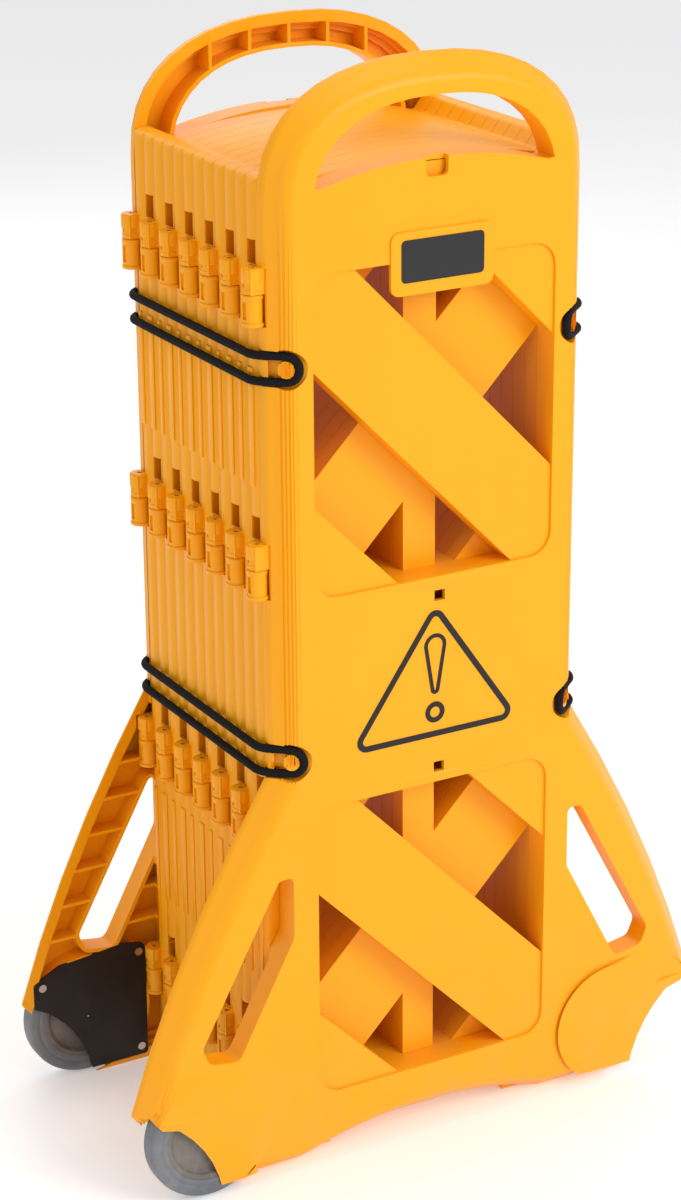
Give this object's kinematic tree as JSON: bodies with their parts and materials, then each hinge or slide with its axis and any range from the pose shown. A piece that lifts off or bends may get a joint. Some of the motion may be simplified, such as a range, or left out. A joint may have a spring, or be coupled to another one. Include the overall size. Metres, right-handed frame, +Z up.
{
  "type": "folding crowd control barrier",
  "caption": "Folding concertina barrier: hinged moulded panels stacked between two end panels with grip handles, flared feet, wheels and elastic loops.",
  "frame": {"origin": "on the floor, in the middle of the folded stack", "axes": "+X across the panels, -Y towards the front end panel, +Z up"},
  "size_m": [0.605, 0.291, 1.016],
  "materials": {
    "yellow_plastic": "moulded, soft gloss",
    "black_plastic": "fine texture",
    "tyre_grey": "satin",
    "hub_grey": "satin",
    "steel": "drawn",
    "zinc": "zinc plated",
    "label_dark": "printed film",
    "black_print": "hot stamped",
    "elastic_cord": "braided sheath"
  },
  "bodies": {
    "front_end": {"front_end_panel": "yellow_plastic", "front_label": "label_dark", "front_symbol": "black_print", "front_axle": "steel", "front_wheel_cover": "black_plastic", "front_cover_screws": "zinc", "hinge_pins_01": "steel", "upper_left_loop": "elastic_cord", "upper_right_loop": "elastic_cord", "lower_left_loop": "elastic_cord", "lower_right_loop": "elastic_cord"},
    "front_wheel": {"front_tyre": "tyre_grey", "front_hub": "hub_grey"},
    "panel_01": {"inner_panel_01": "yellow_plastic", "hinge_pins_02": "steel"},
    "panel_02": {"inner_panel_02": "yellow_plastic", "hinge_pins_03": "steel"},
    "panel_03": {"inner_panel_03": "yellow_plastic", "hinge_pins_04": "steel"},
    "panel_04": {"inner_panel_04": "yellow_plastic", "hinge_pins_05": "steel"},
    "panel_05": {"inner_panel_05": "yellow_plastic", "hinge_pins_06": "steel"},
    "panel_06": {"inner_panel_06": "yellow_plastic", "hinge_pins_07": "steel"},
    "panel_07": {"inner_panel_07": "yellow_plastic", "hinge_pins_08": "steel"},
    "panel_08": {"inner_panel_08": "yellow_plastic", "hinge_pins_09": "steel"},
    "panel_09": {"inner_panel_09": "yellow_plastic", "hinge_pins_10": "steel"},
    "panel_10": {"inner_panel_10": "yellow_plastic", "hinge_pins_11": "steel"},
    "panel_11": {"inner_panel_11": "yellow_plastic", "hinge_pins_12": "steel"},
    "panel_12": {"inner_panel_12": "yellow_plastic", "hinge_pins_13": "steel"},
    "rear_end": {"rear_end_panel": "yellow_plastic", "rear_label": "label_dark", "rear_symbol": "black_print", "rear_axle": "steel", "rear_wheel_cover": "black_plastic", "rear_cover_screws": "zinc"},
    "rear_wheel": {"rear_tyre": "tyre_grey", "rear_hub": "hub_grey"}
  },
  "joints": [
    {"name": "hinge_01", "type": "hinge", "parent": "front_end", "child": "panel_01", "pos_m": [-0.1625, -0.114, 0], "axis": [0, 0, 1], "range_deg": [0, 118], "deforming": ["upper_left_loop", "upper_right_loop", "lower_left_loop", "lower_right_loop"]},
    {"name": "hinge_02", "type": "hinge", "parent": "panel_01", "child": "panel_02", "pos_m": [0.1625, -0.095, 0], "axis": [0, 0, -1], "range_deg": [0, 118]},
    {"name": "hinge_03", "type": "hinge", "parent": "panel_02", "child": "panel_03", "pos_m": [-0.1625, -0.076, 0], "axis": [0, 0, 1], "range_deg": [0, 118]},
    {"name": "hinge_04", "type": "hinge", "parent": "panel_03", "child": "panel_04", "pos_m": [0.1625, -0.057, 0], "axis": [0, 0, -1], "range_deg": [0, 118]},
    {"name": "hinge_05", "type": "hinge", "parent": "panel_04", "child": "panel_05", "pos_m": [-0.1625, -0.038, 0], "axis": [0, 0, 1], "range_deg": [0, 118]},
    {"name": "hinge_06", "type": "hinge", "parent": "panel_05", "child": "panel_06", "pos_m": [0.1625, -0.019, 0], "axis": [0, 0, -1], "range_deg": [0, 118]},
    {"name": "hinge_07", "type": "hinge", "parent": "panel_06", "child": "panel_07", "pos_m": [-0.1625, 0, 0], "axis": [0, 0, 1], "range_deg": [0, 118]},
    {"name": "hinge_08", "type": "hinge", "parent": "panel_07", "child": "panel_08", "pos_m": [0.1625, 0.019, 0], "axis": [0, 0, -1], "range_deg": [0, 118]},
    {"name": "hinge_09", "type": "hinge", "parent": "panel_08", "child": "panel_09", "pos_m": [-0.1625, 0.038, 0], "axis": [0, 0, 1], "range_deg": [0, 118]},
    {"name": "hinge_10", "type": "hinge", "parent": "panel_09", "child": "panel_10", "pos_m": [0.1625, 0.057, 0], "axis": [0, 0, -1], "range_deg": [0, 118]},
    {"name": "hinge_11", "type": "hinge", "parent": "panel_10", "child": "panel_11", "pos_m": [-0.1625, 0.076, 0], "axis": [0, 0, 1], "range_deg": [0, 118]},
    {"name": "hinge_12", "type": "hinge", "parent": "panel_11", "child": "panel_12", "pos_m": [0.1625, 0.095, 0], "axis": [0, 0, -1], "range_deg": [0, 118]},
    {"name": "hinge_13", "type": "hinge", "parent": "panel_12", "child": "rear_end", "pos_m": [-0.1625, 0.114, 0], "axis": [0, 0, 1], "range_deg": [0, 118]},
    {"name": "front_wheel_spin", "type": "hinge", "parent": "front_end", "child": "front_wheel", "pos_m": [-0.234, -0.1322, 0.062], "axis": [0, 1, 0], "continuous": true},
    {"name": "rear_wheel_spin", "type": "hinge", "parent": "rear_end", "child": "rear_wheel", "pos_m": [-0.234, 0.1322, 0.062], "axis": [0, 1, 0], "continuous": true}
  ],
  "couplings": [
    {"joint": "hinge_02", "follows": "hinge_01", "ratio": 1},
    {"joint": "hinge_03", "follows": "hinge_01", "ratio": 1},
    {"joint": "hinge_04", "follows": "hinge_01", "ratio": 1},
    {"joint": "hinge_05", "follows": "hinge_01", "ratio": 1},
    {"joint": "hinge_06", "follows": "hinge_01", "ratio": 1},
    {"joint": "hinge_07", "follows": "hinge_01", "ratio": 1},
    {"joint": "hinge_08", "follows": "hinge_01", "ratio": 1},
    {"joint": "hinge_09", "follows": "hinge_01", "ratio": 1},
    {"joint": "hinge_10", "follows": "hinge_01", "ratio": 1},
    {"joint": "hinge_11", "follows": "hinge_01", "ratio": 1},
    {"joint": "hinge_12", "follows": "hinge_01", "ratio": 1},
    {"joint": "hinge_13", "follows": "hinge_01", "ratio": 1}
  ]
}
